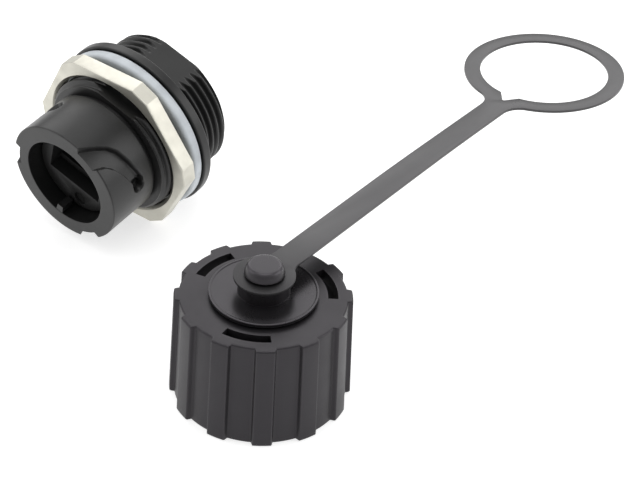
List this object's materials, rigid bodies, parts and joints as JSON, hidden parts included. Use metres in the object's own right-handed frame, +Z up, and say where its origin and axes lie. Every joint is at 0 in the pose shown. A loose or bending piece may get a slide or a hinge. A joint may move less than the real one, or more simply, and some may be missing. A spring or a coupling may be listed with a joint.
{
  "type": "bayonet cable connector with cap",
  "caption": "Sealed panel-mount data connector with a bayonet sleeve, panel nut and gasket, beside its tethered ribbed bayonet cap on a flat strap.",
  "frame": {"origin": "centre of the whole set's footprint, on the surface that it stands on", "axes": "+Z up, +Y along the strap from the cap to its loop, the connector's mating end facing -Y and 8.9 degrees down, +X to the right"},
  "size_m": [0.0853, 0.1173, 0.0338],
  "materials": {
    "housing_plastic": "black glass-filled nylon, fine moulded texture",
    "insert_plastic": "black moulded plastic, smooth",
    "contact_gold": "gold plated",
    "seal_rubber": "matt",
    "gasket_rubber": "blue-grey silicone, matt",
    "nut_nickel": "satin nickel plate",
    "cap_plastic": "dark grey moulded plastic, satin",
    "disc_plastic": "dark grey moulded plastic, satin",
    "spring_steel": "bright spring steel",
    "strap_plastic": "grey flexible plastic sheet, matt"
  },
  "bodies": {
    "connector": {"housing": "housing_plastic", "insert_front": "insert_plastic", "insert_rear": "insert_plastic", "insert_o_ring": "seal_rubber", "retaining_ring": "housing_plastic", "flange_gasket": "gasket_rubber", "contact_1": "contact_gold", "contact_2": "contact_gold", "contact_3": "contact_gold", "contact_4": "contact_gold", "contact_5": "contact_gold", "contact_6": "contact_gold", "contact_7": "contact_gold", "contact_8": "contact_gold"},
    "nut": {"panel_nut": "nut_nickel"},
    "cap": {"inner_plug": "cap_plastic", "cap_seal": "seal_rubber", "wave_spring": "spring_steel", "cap_disc": "disc_plastic", "strap_pin": "disc_plastic", "pin_clip": "spring_steel"},
    "coupling": {"coupling_ring": "cap_plastic"},
    "strap": {"strap_eye": "strap_plastic"},
    "strap_end": {"strap_loop": "strap_plastic"}
  },
  "joints": [
    {"name": "nut_spin", "type": "hinge", "parent": "connector", "child": "nut", "pos_m": [-0.0251, -0.02109, 0.01605], "axis": [0, -0.988, -0.1544], "continuous": true},
    {"name": "cap_lift", "type": "slide", "parent": "connector", "child": "cap", "axis": [0, 0, 1], "range_m": [0, 0.04]},
    {"name": "ring_turn", "type": "hinge", "parent": "cap", "child": "coupling", "pos_m": [0.0272, -0.0433, 0.01], "axis": [0, 0, 1], "continuous": true},
    {"name": "strap_swivel", "type": "hinge", "parent": "cap", "child": "strap", "pos_m": [0.0272, -0.0433, 0.0238], "axis": [0, 0, 1], "range_deg": [-180, 20]},
    {"name": "strap_bend", "type": "hinge", "parent": "strap", "child": "strap_end", "pos_m": [0.0272, 0.0017, 0.0238], "axis": [1, 0, 0], "range_deg": [-20, 90], "stiffness_Nm_per_rad": 0.02}
  ]
}
